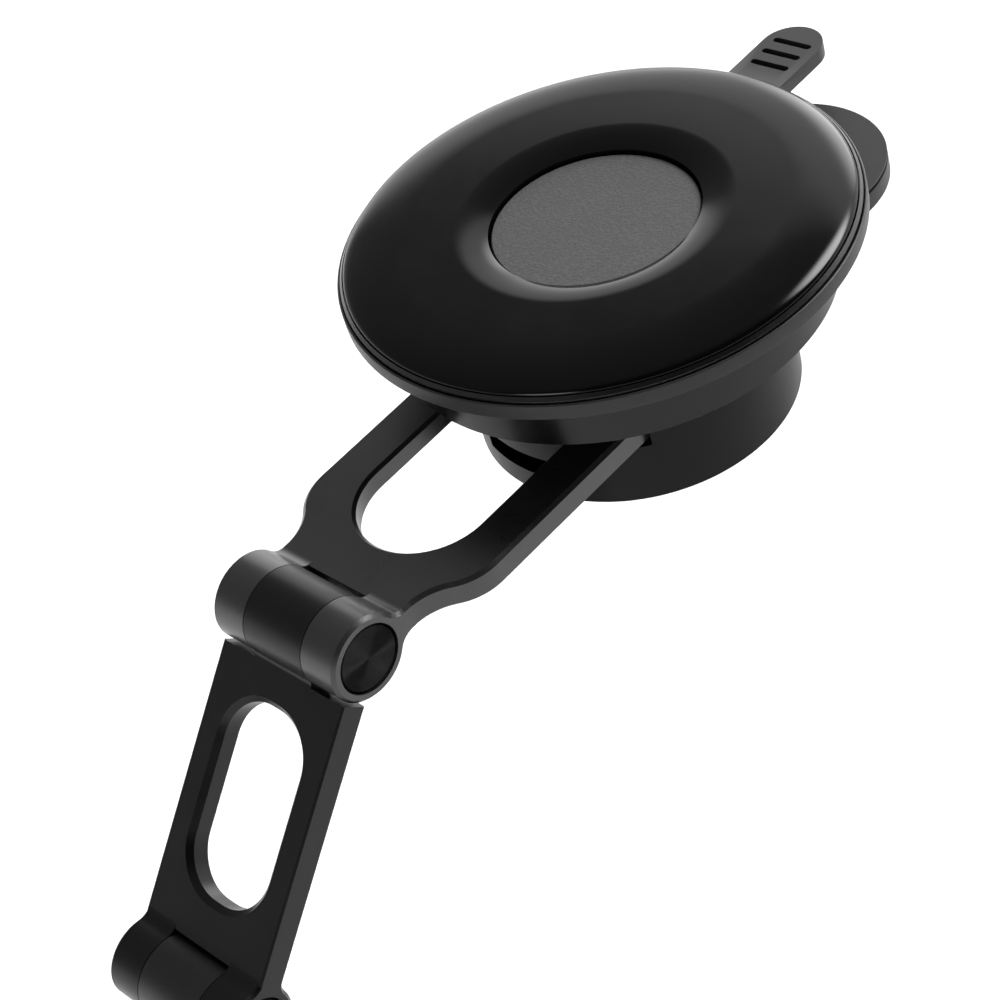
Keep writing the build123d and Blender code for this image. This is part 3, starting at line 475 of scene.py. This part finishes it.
@dataclass(frozen=True)
class BrushedFinish:
    """Machined metal with fine lines along one axis."""

    name: str
    colour: Colour
    along: Direction
    roughness: float = 0.3
    line_stretch: float = 18.0
    sway: float = 0.08

    def make(self) -> bpy.types.Material:
        """Build the material."""
        graph = Graph(self.name)
        graph.constant("Metallic", 1.0)
        stretch = [1.0, 1.0, 1.0]
        stretch[self.along.value] = self.line_stretch
        lines = graph.noise(0.25, 3.0, 0.6, graph.centred(Vector(), stretch=stretch))
        stain = graph.noise(3.0, 3.0)
        colour = graph.mix(stain, scaled(self.colour, 0.88), scaled(self.colour, 1.06))
        roughness = graph.sway(lines, self.roughness, self.sway)
        return graph.finish(colour, roughness, graph.bump(lines, 0.01))


Finish = MouldedFinish | GelFinish | PebbledFinish | TurnedFinish | BrushedFinish


@dataclass
class Finishes:
    """Every finish of the mount, made once.

    Args:
        hinge_a: Middle of the first hinge, in metres.
        hinge_b: Middle of the second hinge, in metres.
        made: The materials by name.
    """

    hinge_a: Vector
    hinge_b: Vector
    made: dict[str, bpy.types.Material] = field(default_factory=dict)

    def all(self) -> list[Finish]:
        """The finishes in the order they are made."""
        grey = (0.42, 0.42, 0.43)
        return [
            GelFinish(),
            PebbledFinish("centre_leather_grain", (0.048, 0.048, 0.049)),
            PebbledFinish("face_silicone", (0.016, 0.016, 0.016), roughness=0.7, cell_mm=0.6, depth_mm=0.02),
            MouldedFinish("carrier_plastic", (0.003, 0.003, 0.003), roughness=0.26, specular=0.5, grain_mm=0.2,
                          grain_depth_mm=0.004),
            MouldedFinish("cup_rubber", (0.016, 0.016, 0.016), roughness=0.4, specular=0.26, grain_mm=0.2,
                          grain_depth_mm=0.012),
            MouldedFinish("band_plastic", (0.001, 0.001, 0.001), roughness=0.24, specular=0.26, grain_mm=0.2,
                          grain_depth_mm=0.005),
            MouldedFinish("turret_plastic", (0.0015, 0.0015, 0.0015), roughness=0.38, specular=0.12, grain_mm=0.24,
                          grain_depth_mm=0.01),
            MouldedFinish("lever_plastic", (0.012, 0.012, 0.012), roughness=0.45, specular=0.26, grain_mm=0.2,
                          grain_depth_mm=0.012),
            MouldedFinish("inner_plastic", (0.004, 0.004, 0.004), roughness=0.5, specular=0.3, grain_mm=0.25,
                          grain_depth_mm=0.02),
            MouldedFinish("fork_coating", (0.010, 0.010, 0.010), roughness=0.3, specular=0.62, grain_mm=0.2,
                          grain_depth_mm=0.009),
            MouldedFinish("link_coating", (0.002, 0.002, 0.0022), roughness=0.32, specular=0.24, grain_mm=0.2,
                          grain_depth_mm=0.009),
            MouldedFinish("head_coating", (0.006, 0.006, 0.0062), roughness=0.36, specular=0.4, grain_mm=0.2,
                          grain_depth_mm=0.01),
            MouldedFinish("nylon", (0.30, 0.29, 0.26), roughness=0.45, specular=0.4, grain_mm=0.3,
                          grain_depth_mm=0.02, tone=0.08, patch_mm=5.0),
            TurnedFinish("cap_turned_a", (0.012, 0.012, 0.0122), self.hinge_a, Direction.Y),
            TurnedFinish("cap_turned_b", (0.012, 0.012, 0.0122), self.hinge_b, Direction.Y),
            BrushedFinish("steel_along_z", grey, Direction.Z),
            BrushedFinish("steel_along_y", grey, Direction.Y),
            BrushedFinish("magnet_nickel", (0.5, 0.5, 0.51), Direction.Z, roughness=0.18),
            MouldedFinish("seal_rubber", (0.012, 0.012, 0.012), roughness=0.6, specular=0.3, grain_mm=0.2,
                          grain_depth_mm=0.01),
        ]

    def make(self) -> None:
        """Build all the materials."""
        for finish in self.all():
            self.made[finish.name] = finish.make()
            LOG.info("finish %s", finish.name)

    def __getitem__(self, name: str) -> bpy.types.Material:
        """The made material of that name."""
        return self.made[name]


class Piece:
    """One new visible piece built from a bmesh."""

    def __init__(self, name: str) -> None:
        """Start an empty mesh.

        Args:
            name: Name of the piece.
        """
        self.name = name
        self.bm = bmesh.new()

    def turned(self, profile_mm: Iterable[tuple[float, float]], steps: int) -> Piece:
        """Spin a closed profile of (radius, z) points round the Z axis.

        Args:
            profile_mm: Corners of the profile, in order.
            steps: Number of facets round the axis.

        Returns:
            This piece.
        """
        verts = [self.bm.verts.new((r * MM, 0.0, z * MM)) for r, z in profile_mm]
        edges = [self.bm.edges.new(pair) for pair in zip(verts, verts[1:] + verts[:1])]
        bmesh.ops.spin(self.bm, geom=verts + edges, axis=(0, 0, 1), cent=(0, 0, 0), angle=2 * math.pi,
                       steps=steps, use_merge=True, use_duplicate=False)
        bmesh.ops.remove_doubles(self.bm, verts=self.bm.verts, dist=TURNED_WELD)
        bmesh.ops.recalc_face_normals(self.bm, faces=self.bm.faces)
        return self

    def softened(self, node: bpy.types.Object, width_mm: float) -> Piece:
        """Copy a node's shape with its sharp edges rounded over.

        Args:
            node: The frame's node.
            width_mm: Width of the rounding.

        Returns:
            This piece.
        """
        self.bm.from_mesh(node.data)
        bmesh.ops.remove_doubles(self.bm, verts=self.bm.verts, dist=NODE_WELD)
        bmesh.ops.dissolve_limit(self.bm, angle_limit=math.radians(FLAT_ANGLE), verts=self.bm.verts,
                                 edges=self.bm.edges, delimit=set())
        sharp = [e for e in self.bm.edges
                 if len(e.link_faces) == 2 and e.calc_face_angle(0.0) > math.radians(EDGE_ANGLE)]
        bmesh.ops.bevel(self.bm, geom=sharp, offset=width_mm * MM, offset_type="OFFSET",
                        segments=EDGE_SEGMENTS, profile=0.5, affect="EDGES", clamp_overlap=True, material=-1)
        return self

    def done(self, body: str, material: bpy.types.Material, slot: str, replaces: Sequence[str] = (),
             smooth: float = 32.0) -> bpy.types.Object:
        """Turn the bmesh into an object that rides on a body.

        Args:
            body: Body the piece moves with.
            material: Finish of the piece.
            slot: The record's material slot; not used.
            replaces: Nodes that this piece stands for.
            smooth: Faces that meet at less than this angle are shaded as one surface.

        Returns:
            The object.
        """
        mesh = bpy.data.meshes.new(self.name)
        self.bm.to_mesh(mesh)
        self.bm.free()
        mesh.materials.append(material)
        obj = bpy.data.objects.new(self.name, mesh)
        bpy.context.scene.collection.objects.link(obj)
        for polygon in mesh.polygons:
            polygon.use_smooth = True
        mesh.set_sharp_from_angle(angle=math.radians(smooth))
        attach(obj, body)
        if replaces:
            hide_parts(*replaces)
        LOG.info("piece %s on %s, %d faces", self.name, body, len(mesh.polygons))
        return obj


def quarter_ellipse(centre: tuple[float, float], radii: tuple[float, float],
                    count: int) -> list[tuple[float, float]]:
    """Points along a quarter of an ellipse, from its widest point to its top.

    Args:
        centre: Centre of the ellipse.
        radii: Radii along r and z.
        count: Number of points.

    Returns:
        (r, z) points.
    """
    points = []
    for i in range(count):
        turn = math.radians(90 * i / (count - 1))
        points.append((centre[0] + radii[0] * math.cos(turn), centre[1] + radii[1] * math.sin(turn)))
    return points


@dataclass
class Sub:
    """Base of the sub-assembly classes: holds the frame and the finishes."""

    frame: dict
    finishes: Finishes

    def dress(self, material: str, *nodes: str) -> None:
        """Give frame nodes a finish.

        Args:
            material: Name of the finish.
            *nodes: Names of the nodes.
        """
        for node in nodes:
            mesh = self.frame["nodes"][node].data
            mesh.materials.clear()
            mesh.materials.append(self.finishes[material])
            LOG.info("node %s in %s", node, material)

    def soften(self, node: str, body: str, material: str, slot: str, width_mm: float) -> bpy.types.Object:
        """Stand a softened copy in for a frame node.

        Args:
            node: Name of the node.
            body: Body that it moves with.
            material: Name of the finish.
            slot: The record's material slot; handed on to Piece.done, which does not use it.
            width_mm: Width of the rounding.

        Returns:
            The new piece.
        """
        piece = Piece(node + "_body").softened(self.frame["nodes"][node], width_mm)
        return piece.done(body, self.finishes[material], slot, (node,), smooth=20.0)


@dataclass
class SuctionBase(Sub):
    """Gel ring, carrier, rubber cup with its peel tab, band and everything inside.

    Args:
        gel_outer: Widest radius of the ring.
        gel_hole: Radius of its hole.
        gel_thickness: Its thickness.
        land_outer: Radius where its flat land ends and the outer shoulder starts.
        land_inner: Radius where the land starts to dip towards the hole.
        shoulder_drop: Fall of the outer shoulder.
        hole_drop: Fall of the land at the hole.
        shoulder_points: Points along the shoulder.
        dip_steps: Steps along the dip.
        gel_facets: Facets round the ring.
    """

    gel_outer: float = 36.9
    gel_hole: float = 15.4
    gel_thickness: float = 3.1
    land_outer: float = 28.0
    land_inner: float = 20.5
    shoulder_drop: float = 2.2
    hole_drop: float = 1.1
    shoulder_points: int = 40
    dip_steps: int = 24
    gel_facets: int = 360

    def gel(self) -> bpy.types.Object:
        """The glossy ring, with a long soft outer shoulder and a land that dips to the hole."""
        outer = quarter_ellipse((self.land_outer, -self.shoulder_drop),
                                (self.gel_outer - self.land_outer, self.shoulder_drop), self.shoulder_points)
        span = self.land_inner - self.gel_hole
        radius = (span ** 2 + self.hole_drop ** 2) / (2 * self.hole_drop)
        dips = [span * i / self.dip_steps for i in range(self.dip_steps + 1)]
        inner = [(self.land_inner - d, math.sqrt(radius ** 2 - d ** 2) - radius) for d in dips]
        profile = [(self.gel_hole, -self.gel_thickness), (self.gel_outer, -self.gel_thickness)]
        piece = Piece("gel_ring").turned(profile + outer + inner, self.gel_facets)
        return piece.done("base", self.finishes["gel_gloss_black"], "gel", ("gel_pad",))

    def build(self) -> None:
        """Build and dress the base."""
        self.gel()
        self.soften("suction_cup", "base", "cup_rubber", "cup_rubber", 0.12)
        self.dress("carrier_plastic", "pad_carrier")
        self.dress("band_plastic", "housing")
        self.dress("inner_plastic", "core_plate")
        self.dress("steel_along_z", "carrier_screws", "hub_clip", "return_spring", "pull_rod")
        self.dress("steel_along_y", "cross_pin")
        self.dress("centre_leather_grain", "centre_plate")
        self.dress("seal_rubber", "wiper_seal")


@dataclass
class TwistLever(Sub):
    """Lever with its cam."""

    def build(self) -> None:
        """Dress the lever."""
        self.dress("lever_plastic", "lever")
        self.dress("nylon", "cam_ring")


@dataclass
class Turret(Sub):
    """Swivelling turret with the fork arm."""

    def build(self) -> None:
        """Dress the turret and fork."""
        self.dress("turret_plastic", "turret_shell")
        self.dress("inner_plastic", "turret_cover")
        self.dress("nylon", "swivel_ring")
        self.dress("steel_along_z", "cover_screws", "swivel_screws", "fork_screws")
        self.dress("fork_coating", "fork_arm")
        self.dress("steel_along_y", "hinge_a_pin")
        self.dress("cap_turned_a", "hinge_a_caps")


@dataclass
class LinkArm(Sub):
    """Slotted link between the two hinges."""

    def build(self) -> None:
        """Dress the link."""
        self.dress("link_coating", "link_arm")
        self.dress("nylon", "hinge_a_bushing")
        self.dress("steel_along_y", "hinge_b_pin")
        self.dress("cap_turned_b", "hinge_b_caps")


@dataclass
class PhoneHead(Sub):
    """Round magnetic head."""

    def build(self) -> None:
        """Dress the head."""
        self.dress("head_coating", "head_frame")
        self.dress("nylon", "hinge_b_bushing")
        self.dress("steel_along_z", "yoke_plate", "head_screws")
        self.dress("magnet_nickel", "magnets")
        self.dress("inner_plastic", "head_plate")
        self.soften("face_pad", "head", "face_silicone", "seal_rubber", 0.2)


@dataclass(frozen=True)
class SoftLight:
    """Round patch of light in the surroundings with a soft edge.

    Args:
        towards: Direction of its middle.
        inner: Angle in degrees inside which it is at full strength.
        outer: Angle in degrees outside which it gives nothing.
        strength: Radiance it adds.
    """

    towards: Heading
    inner: float
    outer: float
    strength: float


@dataclass
class Studio:
    """Floor, lights and camera.

    Args:
        lights: Soft lights in the surroundings.
        floor_z: Height of the floor in millimetres.
        floor_half: Half the floor's width in metres.
        camera_at: Place of the camera in millimetres.
        right: Direction to the right of the view.
        up: Direction up the view.
        back: Direction from the mount back to the camera.
        lens: Focal length in millimetres.
        sensor: Width of the sensor in millimetres.
        nearest: Nearest distance that is drawn, in metres.
    """

    lights: tuple[SoftLight, ...] = (
        SoftLight((0.0, 0.0, 1.0), 88.0, 120.0, 0.03),          # faint light from all round
        SoftLight((0.0, 0.0, -1.0), 88.0, 108.0, 0.4),          # pale skyline
        SoftLight((0.1, 0.8, 0.55), 60.0, 100.0, 0.34),         # broad light over the far side
        SoftLight((0.9, 0.3, -0.3), 55.0, 62.5, 1.7),           # low light at the right
        SoftLight((0.93, 0.33, 0.2), 4.0, 20.0, 5.0),           # lamp at the right
        SoftLight((0.74, -0.26, 0.61), 4.0, 20.0, 26.0),        # strong lamp at the near right
        SoftLight((-0.95, -0.25, 0.12), 4.0, 15.0, 9.0),        # small lamp at the left
    )
    floor_z: float = -300.0
    floor_half: float = 6.0
    camera_at: Vector = field(default_factory=lambda: Vector((-191.857, -232.002, 212.280)))
    right: Vector = field(default_factory=lambda: Vector((0.668458, -0.707266, -0.230083)))
    up: Vector = field(default_factory=lambda: Vector((0.604406, 0.336295, 0.722218)))
    back: Vector = field(default_factory=lambda: Vector((-0.433425, -0.621836, 0.652275)))
    lens: float = 94.118
    sensor: float = 36.0
    nearest: float = 0.01

    def camera(self) -> None:
        """Place the camera."""
        data = bpy.data.cameras.new("camera")
        data.lens = self.lens
        data.sensor_width = self.sensor
        data.clip_start = self.nearest
        camera = bpy.data.objects.new("camera", data)
        turn = Matrix((self.right, self.up, self.back)).transposed().to_4x4()
        camera.matrix_world = Matrix.Translation(self.camera_at * MM) @ turn
        bpy.context.scene.collection.objects.link(camera)
        bpy.context.scene.camera = camera

    def floor(self) -> None:
        """A plain pale floor well below the mount."""
        bm = bmesh.new()
        bmesh.ops.create_grid(bm, x_segments=1, y_segments=1, size=self.floor_half)
        bmesh.ops.translate(bm, verts=bm.verts, vec=(0, 0, self.floor_z * MM))
        mesh = bpy.data.meshes.new("floor")
        bm.to_mesh(mesh)
        bm.free()
        graph = Graph("pale_floor")
        graph.constant("Specular IOR Level", 0.1)
        tone = graph.noise(400.0, 1.0)
        colour = graph.mix(tone, (0.9, 0.9, 0.9), (0.93, 0.93, 0.93))
        roughness = graph.sway(tone, 0.9, 0.05)
        graph.finish(colour, roughness, graph.bump(tone, 0.01))
        mesh.materials.append(graph.material)
        obj = bpy.data.objects.new("floor", mesh)
        bpy.context.scene.collection.objects.link(obj)

    def world(self) -> None:
        """Surroundings: a dim room with a pale skyline and broad soft lights that fade out at their edges."""
        world = bpy.data.worlds.new("studio")
        world.use_nodes = True
        tree = world.node_tree
        tree.nodes.clear()
        out = tree.nodes.new("ShaderNodeOutputWorld")
        background = tree.nodes.new("ShaderNodeBackground")
        place = tree.nodes.new("ShaderNodeTexCoord").outputs["Generated"]
        total: bpy.types.NodeSocket | None = None
        for light in self.lights:
            dot = tree.nodes.new("ShaderNodeVectorMath")
            dot.operation = "DOT_PRODUCT"
            dot.inputs[1].default_value = Vector(light.towards).normalized()
            tree.links.new(place, dot.inputs[0])
            fade = tree.nodes.new("ShaderNodeMapRange")
            fade.interpolation_type = "SMOOTHSTEP"
            fade.inputs["From Min"].default_value = math.cos(math.radians(light.outer))
            fade.inputs["From Max"].default_value = math.cos(math.radians(light.inner))
            fade.inputs["To Max"].default_value = light.strength
            tree.links.new(dot.outputs["Value"], fade.inputs["Value"])
            if total is None:
                total = fade.outputs["Result"]
                continue
            add = tree.nodes.new("ShaderNodeMath")
            tree.links.new(total, add.inputs[0])
            tree.links.new(fade.outputs["Result"], add.inputs[1])
            total = add.outputs[0]
        tree.links.new(total, background.inputs["Strength"])
        tree.links.new(background.outputs[0], out.inputs["Surface"])
        background.inputs["Color"].default_value = (1.0, 1.0, 1.0, 1.0)
        bpy.context.scene.world = world

    def build(self) -> None:
        """Set the whole studio."""
        self.camera()
        self.floor()
        self.world()
        scene = bpy.context.scene
        scene.view_settings.view_transform = "Standard"


def centre_of(node: str) -> Vector:
    """Middle of a frame node's box.

    Args:
        node: Name of the node.

    Returns:
        The point, in metres.
    """
    low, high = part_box(node)
    return (low + high) / 2


def main() -> None:
    """Build the mount's looks in order."""
    logging.basicConfig(level=logging.INFO, format="%(name)s: %(message)s")
    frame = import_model()
    finishes = Finishes(centre_of("hinge_a_pin"), centre_of("hinge_b_pin"))
    finishes.make()
    Studio().build()
    for kind in (SuctionBase, TwistLever, Turret, LinkArm, PhoneHead):
        kind(frame, finishes).build()
        LOG.info("built %s", kind.__name__)


if __name__ == "__main__":
    main()
